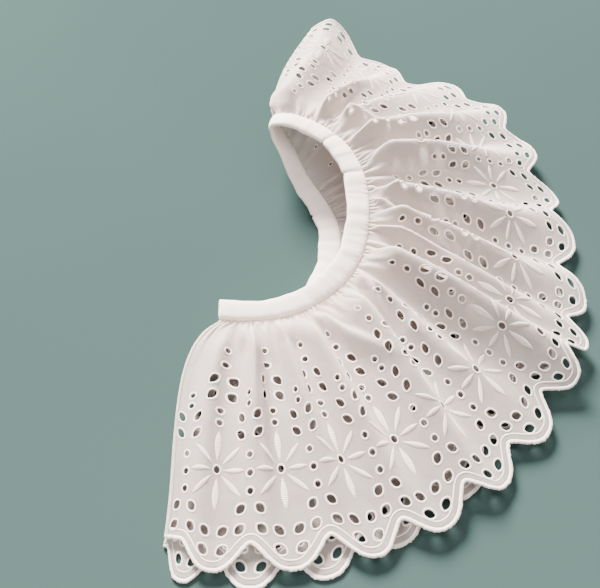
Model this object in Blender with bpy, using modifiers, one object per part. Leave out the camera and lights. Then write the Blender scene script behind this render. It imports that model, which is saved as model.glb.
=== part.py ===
# Gathered eyelet collar with a plain neckband, folded in half at the centre back
# and lying on a table. Blender 4.5, metres, +Z up, table at Z = 0.
# The origin is the middle of the lying collar's outline. The open ends point to -Y.

import bmesh
import bpy
import numpy as np

MM = 0.001

# Driving dimensions, in millimetres
REPEAT = 27.0           # one embroidery repeat along the strip
LACE_DEPTH = 94.0       # band seam to scallop tip
SCALLOP_DEPTH = 9.0     # scallop tip to the notch between two scallops
CLOTH = 1.2             # gathered cotton, with its embroidery
BAND_WIDTH = 9.6        # finished width of the neckband
BAND_THICKNESS = 2.8    # four layers of bias binding and the gathers inside
SEAM_GAP = 0.3
RING_CENTRE = (-53.35, 2.65)     # axis of the neck ring, in the part's frame

# The strip is counted in repeats, from the upper open end round the fold
# to the lower open end.
FIRST_REPEAT = -0.3
SPLIT_REPEAT = 17.0     # under the fold, where the upper stretch meets the lower
LAST_REPEAT = 32.1
COLUMNS_PER_REPEAT = 10
GATHERS_PER_REPEAT = 5

# One row for each section of the strip: turn in degrees and radius about the
# ring's axis, at the band seam and at the scallop tips, with their heights.
# belly lifts the middle of the section, and fall is how soon it drops to its hem.
# repeat, neck_turn, neck_radius, neck_height, tip_turn, tip_radius, tip_height, belly, fall
SECTIONS = np.array([
    (-0.3, -103.5, 51.0, 7.8, -103.0, 143.0, 2.9, 3.0, 1.0),
    (1.0, -89.4, 51.0, 8.6, -88.0, 141.5, 3.2, 4.0, 1.0),
    (2.0, -78.5, 51.5, 9.5, -77.0, 142.0, 3.4, 4.5, 1.0),
    (3.0, -67.6, 52.0, 10.5, -67.3, 145.0, 3.6, 5.0, 1.0),
    (4.0, -56.7, 52.0, 12.0, -56.8, 144.5, 3.6, 5.0, 1.0),
    (5.0, -45.8, 52.0, 13.8, -46.8, 144.5, 3.6, 5.0, 1.0),
    (6.0, -35.0, 51.5, 15.5, -35.8, 142.5, 4.0, 5.0, 1.0),
    (7.0, -24.1, 50.5, 17.0, -28.0, 143.0, 6.5, 4.5, 1.0),
    (8.0, -13.2, 49.5, 18.5, -21.0, 142.5, 4.5, 4.0, 1.0),
    (9.0, -2.3, 49.0, 20.0, -9.2, 137.5, 3.5, 4.0, 1.0),
    (10.0, 8.6, 49.5, 21.0, 4.0, 139.0, 4.0, 4.0, 1.0),
    (11.0, 19.5, 50.5, 22.5, 13.8, 136.5, 4.0, 4.0, 1.0),
    (12.0, 30.4, 51.5, 24.0, 27.3, 142.5, 6.5, 4.0, 1.0),
    (13.0, 41.3, 52.5, 25.0, 38.8, 142.0, 7.5, 3.0, 1.0),
    (14.0, 52.1, 53.0, 26.0, 54.0, 134.5, 3.0, 2.0, 1.0),
    (15.0, 63.0, 53.0, 27.0, 66.2, 140.5, 5.5, 1.0, 1.0),
    (15.6, 71.5, 52.5, 28.0, 75.5, 143.5, 20.0, 1.0, 1.0),
    (16.1, 82.5, 52.5, 26.5, 78.5, 143.5, 16.5, 1.0, 1.0),
    (16.6, 83.5, 52.5, 21.5, 78.0, 143.5, 9.0, 0.5, 1.0),
    (17.0, 79.5, 52.5, 18.8, 76.0, 143.0, 3.0, 0.0, 1.0),
    (18.0, 68.0, 46.5, 13.0, 66.0, 140.5, 0.0, 0.0, 1.8),
    (19.0, 57.0, 40.5, 8.5, 54.5, 136.0, 0.0, 0.0, 3.0),
    (20.2, 44.0, 38.0, 4.0, 40.0, 132.5, 0.0, 0.0, 5.0),
    (22.0, 22.0, 37.5, 0.8, 17.5, 131.0, 0.0, 0.0, 8.0),
    (24.0, -4.0, 38.0, 0.8, -8.0, 131.0, 0.0, 0.0, 8.0),
    (26.0, -29.0, 41.0, 0.8, -35.0, 134.0, 0.0, 0.0, 8.0),
    (28.0, -54.0, 46.5, 0.8, -62.0, 141.0, 0.0, 0.0, 8.0),
    (30.0, -79.0, 51.5, 0.8, -83.5, 146.0, 0.0, 0.0, 8.0),
    (32.1, -103.5, 51.0, 0.8, -103.5, 144.0, 0.0, 0.0, 8.0),
])

# One row for each large fold of the upper stretch: where its crest lies, in
# repeats, at the neck, in the middle and at the hem, its height in millimetres,
# how far it reaches to either side, in repeats, and what is left of it at the hem.
# neck, middle, hem, height, near_side, far_side, hem_share
UPPER_FOLDS = np.array([
    (0.35, 0.30, 0.30, 2.0, 0.35, 0.30, 0.20),
    (1.15, 1.20, 1.25, 3.0, 0.55, 0.40, 0.20),
    (2.05, 2.15, 2.30, 2.2, 0.50, 0.40, 0.10),
    (3.05, 3.10, 3.25, 4.0, 0.80, 0.45, 0.25),
    (5.05, 4.65, 4.20, 7.5, 0.95, 0.50, 0.40),
    (5.95, 5.85, 5.80, 3.5, 0.60, 0.35, 0.10),
    (6.90, 7.15, 7.10, 8.5, 1.10, 0.52, 0.55),
    (7.95, 8.00, 8.10, 4.5, 0.42, 0.40, 0.10),
    (8.85, 8.75, 8.85, 7.5, 0.60, 0.42, 0.45),
    (9.70, 9.55, 9.75, 8.5, 0.65, 0.42, 0.45),
    (11.55, 11.45, 11.75, 9.0, 1.00, 0.45, 0.35),
    (12.75, 12.60, 12.60, 7.0, 0.70, 0.42, 0.40),
    (13.80, 13.60, 13.60, 5.0, 0.50, 0.40, 0.30),
    (14.65, 14.55, 14.70, 4.0, 0.45, 0.35, 0.20),
])

# Low folds of the lower stretch, pressed flat under the upper one
# neck, middle, hem, height, near_side, far_side, hem_share
LOWER_FOLDS = np.array([
    (20.9, 20.8, 20.8, 2.2, 0.32, 0.26, 0.0),
    (21.8, 21.8, 21.9, 2.8, 0.30, 0.28, 0.0),
    (23.0, 22.9, 22.9, 2.4, 0.34, 0.26, 0.0),
    (24.1, 24.2, 24.2, 2.8, 0.28, 0.30, 0.0),
    (25.3, 25.2, 25.1, 2.2, 0.32, 0.28, 0.0),
    (26.4, 26.5, 26.5, 2.6, 0.34, 0.28, 0.0),
    (27.6, 27.5, 27.6, 2.0, 0.28, 0.26, 0.0),
    (28.7, 28.7, 28.6, 1.6, 0.30, 0.26, 0.0),
    (29.8, 29.8, 29.9, 1.4, 0.26, 0.24, 0.0),
    (31.0, 30.9, 30.9, 1.2, 0.28, 0.24, 0.0),
])
MIDDLE = 0.45           # share of the depth where a fold's middle place is given
FOLD_ONSET = 0.16       # share of the depth in which a fold reaches its height
FOLD_LEAN = 0.22        # how far a crest leans towards the fold, per unit of height

# Gathers, crest to mid height, from the band seam out. Each pair of gathers runs
# into one ripple.
GATHER_HEIGHT = 0.55
GATHER_REACH = 0.15     # share of the depth in which they die out
RIPPLE_HEIGHT = 1.1
RIPPLE_REACH = 0.42

# Shares of the depth where the rows of the two walls lie, closer near the band
UPPER_ROWS = (0.0, 0.025, 0.06, 0.105, 0.165, 0.25, 0.37, 0.52, 0.68, 0.84, 1.0)
LOWER_ROWS = (0.0, 0.04, 0.10, 0.22, 0.45, 0.72, 1.0)
TABLE_CONTACT = 0.15    # cloth nearer to the table than this lies on it

BAND_STEPS_PER_REPEAT = 3
BAND_SIDES = 12
BAND_RISE = 8.0         # degrees that the upper band's inner edge stands up
BAND_SQUARENESS = 0.72  # under 1, the band's section is a squared-off oval


# Cubic through the table's rows that doesn't overshoot, for one column at the
# given repeats
def along_strip(column, repeats):
    places = SECTIONS[:, 0]
    values = SECTIONS[:, column]
    rates = np.diff(values) / np.diff(places)
    before, after = rates[:-1], rates[1:]
    level = before * after <= 0.0
    even = 2 * before * after / np.where(level, 1.0, before + after)
    slopes = np.concatenate([rates[:1], np.where(level, 0.0, even), rates[-1:]])
    row = np.clip(np.searchsorted(places, repeats) - 1, 0, len(places) - 2)
    step = places[row + 1] - places[row]
    t = (repeats - places[row]) / step
    start = (2 * t**3 - 3 * t**2 + 1) * values[row] + (t**3 - 2 * t**2 + t) * step * slopes[row]
    end = (-2 * t**3 + 3 * t**2) * values[row + 1] + (t**3 - t**2) * step * slopes[row + 1]
    return start + end


def smooth_step(t):
    t = np.clip(t, 0.0, 1.0)
    return t * t * (3.0 - 2.0 * t)


def polar_point(turn, radius, height):
    angle = np.radians(turn)
    return np.stack([radius * np.cos(angle), radius * np.sin(angle), height], axis=-1)


def neck_point(repeats):
    return polar_point(*(along_strip(column, repeats) for column in (1, 2, 3)))


# How far the hem is cut back from the scallop tips, as circular arcs
def scallop_cut(repeats):
    half = REPEAT / 2
    radius = (half**2 + SCALLOP_DEPTH**2) / (2 * SCALLOP_DEPTH)
    across = (np.mod(repeats, 1.0) - 0.5) * REPEAT
    return radius - np.sqrt(radius**2 - across**2)


# The strip without folds, at a share of the depth from the band seam
def plain_strip(repeats, share):
    neck = neck_point(repeats)
    tip = polar_point(*(along_strip(column, repeats) for column in (4, 5, 6)))
    belly = along_strip(7, repeats)
    fall = along_strip(8, repeats)
    share = np.clip(share, 0.0, 1.0)
    place = neck + (tip - neck) * share[..., None]
    drop = (1.0 - share) ** fall
    place[..., 2] = tip[..., 2] + (neck[..., 2] - tip[..., 2]) * drop
    place[..., 2] += belly * np.sin(np.pi * share**0.8)
    return place


def fold_height(folds, repeats, share):
    height = np.zeros(repeats.shape)
    ease_in = smooth_step(share / FOLD_ONSET)
    fade = smooth_step((share - 0.3) / 0.7)
    for neck, middle, hem, crest, near_side, far_side, hem_share in folds:
        place = neck * (share - MIDDLE) * (share - 1.0) / MIDDLE
        place = place + middle * share * (1.0 - share) / (MIDDLE * (1.0 - MIDDLE))
        place = place + hem * share * (share - MIDDLE) / (1.0 - MIDDLE)
        away = repeats - place
        reach = np.where(away < 0.0, near_side, far_side)
        shape = np.cos(np.pi / 2 * np.clip(np.abs(away) / reach, 0.0, 1.0)) ** 2
        height += crest * shape * ease_in * (1.0 - (1.0 - hem_share) * fade)
    return height


# Fine gathers that the band draws up, and the ripples they run into, uneven from
# one to the next, and calm where the two stretches meet
def gather_height(repeats, share):
    calm = smooth_step(np.abs(repeats - SPLIT_REPEAT) / 0.6)
    fine = np.cos(2 * np.pi * GATHERS_PER_REPEAT * repeats)
    fine = fine * (0.8 + 0.2 * np.sin(2.9 * repeats) * np.cos(7.3 * repeats))
    fine = fine * (0.7 + 0.3 * smooth_step(share / 0.04)) * smooth_step(1.0 - share / GATHER_REACH)
    broad = np.cos(np.pi * GATHERS_PER_REPEAT * repeats)
    broad = broad * (0.65 + 0.35 * np.sin(1.7 * repeats + 0.6) * np.cos(4.1 * repeats))
    broad = broad * smooth_step(share / 0.12) * smooth_step(1.0 - share / RIPPLE_REACH)
    return calm * (GATHER_HEIGHT * fine + RIPPLE_HEIGHT * broad)


# The cloth's right side, in the ring's frame, in millimetres. The upper stretch
# shows this side, and the lower stretch lies on it.
def right_side(repeats, share):
    repeats, share = np.broadcast_arrays(np.float64(repeats), np.float64(share))
    place = plain_strip(repeats, share)
    step = 0.001
    along = plain_strip(repeats + step, share) - plain_strip(repeats - step, share)
    outward = plain_strip(repeats, share + step) - plain_strip(repeats, share - step)
    along /= np.linalg.norm(along, axis=-1, keepdims=True)
    normal = np.cross(outward, along)
    normal /= np.linalg.norm(normal, axis=-1, keepdims=True)
    upper = fold_height(UPPER_FOLDS, repeats, share)[..., None]
    lower = fold_height(LOWER_FOLDS, repeats, share)[..., None]
    gathers = gather_height(repeats, share)[..., None]
    on_table = smooth_step((repeats - 18.0) / 2.0)[..., None]
    gathers = gathers * (1.0 - on_table) + np.minimum(gathers, 0.0) * on_table
    place = place + normal * (upper - lower + gathers) + along * upper * FOLD_LEAN
    place[..., 2] = np.where(place[..., 2] < TABLE_CONTACT, 0.0, place[..., 2])
    return place


def to_part_frame(points):
    centre = np.array([RING_CENTRE[0], RING_CENTRE[1], 0.0])
    return (points + centre) * MM


def cotton(name, colour):
    material = bpy.data.materials.new(name)
    material.use_nodes = True
    shader = material.node_tree.nodes["Principled BSDF"]
    shader.inputs["Base Color"].default_value = (*colour, 1.0)
    shader.inputs["Roughness"].default_value = 0.85
    shader.inputs["Metallic"].default_value = 0.0
    return material


def add_object(name, bm, material, collection):
    mesh = bpy.data.meshes.new(name)
    bm.to_mesh(mesh)
    bm.free()
    mesh.materials.append(material)
    mesh.shade_smooth()
    piece = bpy.data.objects.new(name, mesh)
    collection.objects.link(piece)
    return piece


# A stretch of the gathered strip: a grid laid on the right side, thickened inwards
def ruffle(name, first, last, rows, gap, material, collection):
    columns = round((last - first) * COLUMNS_PER_REPEAT)
    bm = bmesh.new()
    bmesh.ops.create_grid(bm, x_segments=columns, y_segments=len(rows) - 1, size=1.0)
    corners = np.array([vert.co for vert in bm.verts])
    repeats = first + (corners[:, 0] + 1.0) / 2.0 * (last - first)
    share = np.interp((corners[:, 1] + 1.0) / 2.0, np.linspace(0.0, 1.0, len(rows)), rows)
    share = share * (1.0 - scallop_cut(repeats) / LACE_DEPTH)
    # The first column stands back from the stretch before it by the seam gap
    ahead = right_side(repeats + 0.01, share) - right_side(repeats, share)
    width = np.linalg.norm(ahead, axis=-1) / 0.01
    at_start = repeats < first + 0.5 / COLUMNS_PER_REPEAT
    repeats = np.where(at_start, repeats + gap / width, repeats)
    for vert, place in zip(bm.verts, to_part_frame(right_side(repeats, share))):
        vert.co = place
    bmesh.ops.reverse_faces(bm, faces=bm.faces)
    piece = add_object(name, bm, material, collection)
    wall = piece.modifiers.new("wall", "SOLIDIFY")
    wall.thickness = CLOTH * MM
    wall.offset = -1.0
    return piece


# The neckband: a squared-off oval section swept along the seam, inside the ring
def neckband(name, material, collection):
    steps = round((LAST_REPEAT - FIRST_REPEAT) * BAND_STEPS_PER_REPEAT)
    repeats = np.linspace(FIRST_REPEAT, LAST_REPEAT, steps + 1)
    seam = neck_point(repeats)
    step = 0.02
    before = neck_point(np.maximum(repeats - step, FIRST_REPEAT))
    after = neck_point(np.minimum(repeats + step, LAST_REPEAT))
    along = after - before
    along /= np.linalg.norm(along, axis=-1, keepdims=True)
    rise = np.radians(BAND_RISE) * (1.0 - smooth_step((repeats - 17.0) / 4.0))
    turn = np.radians(along_strip(1, repeats))
    inward = np.stack([-np.cos(turn) * np.cos(rise), -np.sin(turn) * np.cos(rise), np.sin(rise)], axis=-1)
    inward -= along * np.sum(inward * along, axis=-1, keepdims=True)
    inward /= np.linalg.norm(inward, axis=-1, keepdims=True)
    outside = np.cross(along, inward)
    middle = seam - outside * CLOTH / 2 + inward * (BAND_WIDTH / 2 + SEAM_GAP)

    bm = bmesh.new()
    bmesh.ops.create_grid(bm, x_segments=steps, y_segments=BAND_SIDES, size=1.0)
    for vert in bm.verts:
        section = round((vert.co.x + 1.0) / 2.0 * steps)
        angle = np.pi * (vert.co.y + 1.0)
        across = np.sign(np.cos(angle)) * abs(np.cos(angle)) ** BAND_SQUARENESS * BAND_WIDTH / 2
        over = np.sign(np.sin(angle)) * abs(np.sin(angle)) ** BAND_SQUARENESS * BAND_THICKNESS / 2
        vert.co = to_part_frame(middle[section] + inward[section] * across + outside[section] * over)
    bmesh.ops.remove_doubles(bm, verts=bm.verts, dist=1e-6)
    open_edges = [edge for edge in bm.edges if edge.is_boundary]
    bmesh.ops.holes_fill(bm, edges=open_edges, sides=BAND_SIDES)
    bmesh.ops.recalc_face_normals(bm, faces=bm.faces)
    return add_object(name, bm, material, collection)


def main():
    for old in list(bpy.data.objects):
        bpy.data.objects.remove(old)
    collection = bpy.data.collections.new("embroidered_collar")
    bpy.context.scene.collection.children.link(collection)
    lawn = cotton("white_cotton_lawn", (0.84, 0.81, 0.80))
    binding = cotton("white_bias_binding", (0.88, 0.86, 0.84))
    ruffle("ruffle_upper", FIRST_REPEAT, SPLIT_REPEAT, UPPER_ROWS, 0.0, lawn, collection)
    ruffle("ruffle_lower", SPLIT_REPEAT, LAST_REPEAT, LOWER_ROWS, SEAM_GAP, lawn, collection)
    neckband("neck_band", binding, collection)


main()
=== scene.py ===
# Gathered eyelet collar with a plain neckband, folded in half on a table
import math

import bmesh
import bpy
import numpy as np
from mathutils.geometry import delaunay_2d_cdt
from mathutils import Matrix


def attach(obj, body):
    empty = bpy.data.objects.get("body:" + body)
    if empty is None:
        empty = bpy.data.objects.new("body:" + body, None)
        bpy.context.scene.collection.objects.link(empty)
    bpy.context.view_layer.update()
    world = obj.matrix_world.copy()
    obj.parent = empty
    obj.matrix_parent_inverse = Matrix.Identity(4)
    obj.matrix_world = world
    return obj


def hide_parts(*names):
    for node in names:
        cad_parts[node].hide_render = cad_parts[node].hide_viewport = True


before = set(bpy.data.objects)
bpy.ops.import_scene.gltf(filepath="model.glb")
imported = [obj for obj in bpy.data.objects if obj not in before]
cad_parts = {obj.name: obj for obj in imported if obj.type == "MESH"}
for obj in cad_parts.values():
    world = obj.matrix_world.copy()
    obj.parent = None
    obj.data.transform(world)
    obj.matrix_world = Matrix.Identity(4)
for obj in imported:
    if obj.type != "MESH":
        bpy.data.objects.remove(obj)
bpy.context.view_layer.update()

mm = 0.001

# The strip's own sizes, in millimetres. It is counted in repeats of its embroidery,
# from the upper open end round the fold to the lower open end.
strip = {
    "repeat": 27.0,
    "depth": 94.0,              # band seam to scallop tip
    "scallopDepth": 9.0,
    "notchRound": 2.2,          # millimetres that soften the corner of a notch
    "waviness": 0.65,           # 0 makes the scallops round arcs, 1 makes a wave
    "waveSkew": 0.77,           # below 1 the wave is broader at its tips
    "tileStart": -0.25,         # where one repeat's tile begins, from the star's axis
    "wall": 1.2,                # the solid's wall, whose middle the cloth lies in
    "cloth": 0.32,
    "seamAllowance": 1.6,       # cloth that runs on into the band
    "first": -0.3,
    "split": 17.25,             # where the two stretches are joined, under the fold
    "last": 32.1,
    "lastNotch": 32.0,
    "ringCentre": (-53.35, 2.65),
    "onTable": 0.5,             # lowest height of the cloth's middle
    "tableSoft": 0.2,           # how softly it settles there
    "pressedFrom": 18.0,        # from this repeat on, over two more, the gathers are pressed in
    "pressedOver": 2.0,
    "bellySkew": 0.8,           # below 1 a belly is highest nearer to the seam
    "clearOfHems": (4.2, 2.0),  # the stitching keeps this far from the upper and lower open end
}

# The strip's way round the ring, a row for each measured place: the turn in degrees, radius and
# height about the ring's axis, at the seam and at the scallop tips, then the belly that raises
# it half-way. Where the fall is more than 1, it drops to the table soon after the seam.
sectionColumns = [
    "repeat", "neckTurn", "neckRadius", "neckHeight", "tipTurn", "tipRadius", "tipHeight", "belly", "fall",
]
sections = np.array([
    (-0.3, -103.5, 51.0, 7.8, -100.0, 141.0, 2.9, 0.5, 1.0),
    (0.1, -99.2, 51.0, 8.0, -97.4, 141.0, 3.0, 0.7, 1.0),
    (1.0, -89.4, 51.0, 8.6, -88.4, 141.5, 3.2, 1.0, 1.0),
    (2.0, -78.5, 51.5, 9.5, -77.0, 142.0, 3.4, 1.4, 1.0),
    (3.0, -67.6, 52.0, 10.5, -67.3, 145.0, 3.6, 1.8, 1.0),
    (4.0, -56.7, 52.0, 12.0, -56.8, 144.5, 3.6, 1.8, 1.0),
    (5.0, -45.8, 52.0, 13.8, -46.8, 144.5, 3.6, 2.0, 1.0),
    (6.0, -35.0, 51.5, 15.5, -35.8, 142.5, 4.0, 3.0, 1.0),
    (7.0, -24.1, 50.5, 17.0, -28.0, 143.0, 6.5, 4.0, 1.0),
    (8.0, -13.2, 49.5, 18.5, -21.0, 142.5, 4.5, 4.0, 1.0),
    (9.0, -2.3, 49.0, 20.0, -9.2, 137.5, 3.5, 4.0, 1.0),
    (10.0, 8.6, 49.5, 21.0, 4.0, 139.0, 4.0, 4.0, 1.0),
    (11.0, 19.5, 50.5, 22.5, 13.8, 136.5, 4.0, 4.0, 1.0),
    (12.0, 30.4, 51.5, 24.0, 27.3, 142.5, 6.5, 4.0, 1.0),
    (13.0, 41.3, 52.5, 25.0, 38.8, 142.0, 7.5, 3.0, 1.0),
    (14.0, 52.1, 53.0, 26.0, 54.0, 134.5, 3.0, 2.0, 1.0),
    (15.0, 63.0, 53.0, 27.0, 66.2, 140.5, 5.5, 1.0, 1.0),
    (15.6, 71.5, 52.5, 28.0, 75.5, 143.5, 20.0, 1.0, 1.0),
    (16.1, 80.5, 52.5, 26.8, 78.5, 143.5, 16.5, 1.0, 1.0),
    (16.6, 81.8, 52.5, 21.8, 78.0, 143.5, 9.0, 0.5, 1.0),
    (17.0, 78.0, 51.5, 18.0, 76.0, 143.0, 3.0, 1.0, 1.0),
    (18.0, 67.0, 45.0, 12.5, 66.0, 140.5, 0.0, 4.0, 1.8),
    (19.0, 56.0, 39.5, 8.5, 54.5, 136.0, 0.0, 5.0, 3.0),
    (20.2, 44.0, 38.0, 4.0, 40.0, 132.5, 0.0, 4.5, 5.0),
    (22.0, 22.0, 37.5, 0.8, 17.5, 131.0, 0.0, 3.4, 8.0),
    (24.0, -4.0, 38.0, 0.8, -8.0, 131.0, 0.0, 3.0, 8.0),
    (26.0, -29.0, 41.0, 0.8, -35.0, 134.0, 0.0, 3.0, 8.0),
    (28.0, -54.0, 46.5, 0.8, -62.0, 141.0, 0.0, 2.6, 8.0),
    (30.0, -79.0, 51.5, 0.8, -83.5, 146.0, 0.0, 1.6, 8.0),
    (31.5, -96.5, 51.0, 0.8, -97.4, 144.5, 0.0, 1.0, 8.0),
    (32.1, -103.5, 51.0, 0.8, -100.2, 143.5, 0.0, 0.8, 8.0),
])
# Cubic through one column of the sections that doesn't overshoot
def alongStrip(column, repeats):
    places = sections[:, sectionColumns.index("repeat")]
    values = sections[:, sectionColumns.index(column)]
    rates = np.diff(values) / np.diff(places)
    before, after = rates[:-1], rates[1:]
    level = before * after <= 0.0
    even = 2 * before * after / np.where(level, 1.0, before + after)
    slopes = np.concatenate([rates[:1], np.where(level, 0.0, even), rates[-1:]])
    row = np.clip(np.searchsorted(places, repeats) - 1, 0, len(places) - 2)
    step = places[row + 1] - places[row]
    t = (repeats - places[row]) / step
    start = (2 * t**3 - 3 * t**2 + 1) * values[row] + (t**3 - 2 * t**2 + t) * step * slopes[row]
    end = (-2 * t**3 + 3 * t**2) * values[row + 1] + (t**3 - t**2) * step * slopes[row + 1]
    return start + end


# Eases from 0 to 1 while t does
def smoothStep(t):
    t = np.clip(t, 0.0, 1.0)
    return t * t * (3.0 - 2.0 * t)


def polarPoint(turn, radius, height):
    angle = np.radians(turn)
    return np.stack([radius * np.cos(angle), radius * np.sin(angle), height], axis=-1)


def neckPoint(repeats):
    return polarPoint(*(alongStrip(column, repeats) for column in ("neckTurn", "neckRadius", "neckHeight")))


def unit(vectors):
    return vectors / np.linalg.norm(vectors, axis=-1, keepdims=True)


# How far the scallops' edge lies inside their tips, round in the notches too
def scallopCut(repeats):
    half, deep, soft = strip["repeat"] / 2, strip["scallopDepth"], strip["notchRound"]
    share = 1.0 - 2.0 * np.abs(np.mod(repeats, 1.0) - 0.5)
    fromAxis = half - np.sqrt((share * half) ** 2 + soft**2) + soft * (1.0 - share)
    radius = (half**2 + deep**2) / (2 * deep)
    arc = radius - np.sqrt(radius**2 - fromAxis**2)
    t = share ** strip["waveSkew"]
    wave = deep * (1.0 - t**3 * (6.0 * t * t - 15.0 * t + 10.0))
    return arc + strip["waviness"] * (wave - arc)


# Depth of the strip's lower edge, cut straight between each open end and its nearest notch
def hemDepth(repeats):
    beyond = (repeats < 0.0) | (repeats > strip["lastNotch"])
    return strip["depth"] - np.where(beyond, strip["scallopDepth"], scallopCut(repeats))


# The upper open end flares out beside the band and falls back towards the hem
openEnd = {"flare": 9.0, "spread": 0.5, "tightness": 1.5, "reach": 1.2}
# The fold's edge swells out to the left half-way to the hem
foldEdge = {"swell": 6.0, "at": 16.4, "reach": 1.3}


# The strip without folds
def plainStrip(repeats, share):
    neck = neckPoint(repeats)
    tip = polarPoint(*(alongStrip(column, repeats) for column in ("tipTurn", "tipRadius", "tipHeight")))
    place = neck + (tip - neck) * share[..., None]
    share = np.clip(share, 0.0, 1.0)
    bulge = np.sin(np.pi * share ** strip["bellySkew"])
    fall = alongStrip("fall", repeats)
    place[..., 2] = tip[..., 2] + (neck[..., 2] - tip[..., 2]) * (1.0 - share) ** fall
    place[..., 2] += alongStrip("belly", repeats) * bulge
    flare = openEnd["flare"] * (1.0 - smoothStep((repeats - strip["first"]) / openEnd["reach"]))
    place[..., 0] -= flare * np.sin(np.pi * share ** openEnd["spread"]) ** openEnd["tightness"]
    swell = foldEdge["swell"] * smoothStep(1.0 - np.abs(repeats - foldEdge["at"]) / foldEdge["reach"])
    place[..., 0] -= swell * bulge
    return place


# The large folds: the repeat where the crest lies at the neck, in the middle and at the
# hem, its height, how far it reaches to either side, and the share of it left at the hem
largeFolds = np.array([
    (0.35, 0.30, 0.30, 3.8, 0.34, 0.30, 0.20),
    (1.15, 1.18, 1.20, 5.0, 0.46, 0.30, 0.20),
    (2.05, 2.15, 2.30, 4.8, 0.40, 0.36, 0.10),
    (3.05, 3.10, 3.25, 5.6, 0.55, 0.38, 0.25),
    (4.95, 4.45, 4.15, 8.0, 0.95, 0.45, 0.30),
    (5.80, 5.45, 5.60, 4.0, 0.60, 0.35, 0.10),
    (6.90, 6.75, 6.95, 9.0, 0.95, 0.48, 0.38),
    (8.05, 7.76, 7.80, 5.0, 0.48, 0.36, 0.15),
    (8.85, 8.48, 8.80, 8.0, 0.56, 0.42, 0.32),
    (9.70, 9.48, 10.00, 9.0, 0.70, 0.46, 0.18),
    (11.60, 11.28, 11.35, 9.5, 1.00, 0.46, 0.32),
    (12.80, 12.35, 12.45, 7.5, 0.66, 0.44, 0.32),
    (13.80, 13.50, 13.50, 6.0, 0.52, 0.36, 0.35),
    (14.75, 14.45, 14.25, 6.0, 0.50, 0.34, 0.30),
    (15.90, 15.55, 15.40, 3.5, 0.45, 0.34, 0.20),
    (20.9, 20.8, 20.8, -3.0, 0.32, 0.26, 0.0),
    (21.8, 21.8, 21.9, -3.8, 0.30, 0.28, 0.0),
    (23.0, 22.9, 22.9, -3.3, 0.34, 0.26, 0.0),
    (24.1, 24.2, 24.2, -3.8, 0.28, 0.30, 0.0),
    (25.3, 25.2, 25.1, -3.1, 0.32, 0.28, 0.0),
    (26.4, 26.5, 26.5, -3.5, 0.34, 0.28, 0.0),
    (27.6, 27.5, 27.6, -2.8, 0.28, 0.26, 0.0),
    (28.7, 28.7, 28.6, -2.3, 0.30, 0.26, 0.0),
    (29.8, 29.8, 29.9, -2.0, 0.26, 0.24, 0.0),
    (31.0, 30.9, 30.9, -1.7, 0.28, 0.24, 0.0),
])
foldShape = {
    "middle": 0.45,             # where the middle place lies, as a share of the depth
    "onset": 0.16,              # share of the depth in which a fold rises from the seam
    "fadeFrom": 0.3,
    "lean": 0.32,               # how far a crest leans over along the band, per height
    "crisp": 0.75, "hollow": 1.7,
    "crestRound": 0.2, "hemRound": 0.6,
}


def foldHeight(repeats, share):
    middle = foldShape["middle"]
    easeIn = smoothStep(share / foldShape["onset"])
    fade = smoothStep((share - foldShape["fadeFrom"]) / (1.0 - foldShape["fadeFrom"]))
    height = np.zeros(repeats.shape)
    for neckPlace, midPlace, hemPlace, crest, nearSide, farSide, hemShare in largeFolds:
        place = neckPlace * (share - middle) * (share - 1.0) / middle
        place = place + midPlace * share * (1.0 - share) / (middle * (1.0 - middle))
        place = place + hemPlace * share * (share - middle) / (1.0 - middle)
        away = repeats - place
        reach = np.where(away < 0.0, nearSide, farSide)
        tip = foldShape["crestRound"] + (foldShape["hemRound"] - foldShape["crestRound"]) * fade
        height += crest * ridge(away / reach, tip) * easeIn * (1.0 - (1.0 - hemShare) * fade)
    return height


# Across a fold: hollow and soft at its foot, with a crest that is tight near the band
def ridge(away, tip):
    away = np.clip(np.abs(away), 0.0, 1.0)
    sharp = np.maximum(np.hypot(1.0, tip) - np.hypot(away, tip), 0.0) / (np.hypot(1.0, tip) - tip)
    soft = np.cos(np.pi / 2 * away) ** 2
    return foldShape["crisp"] * sharp ** foldShape["hollow"] + (1.0 - foldShape["crisp"]) * soft


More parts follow.
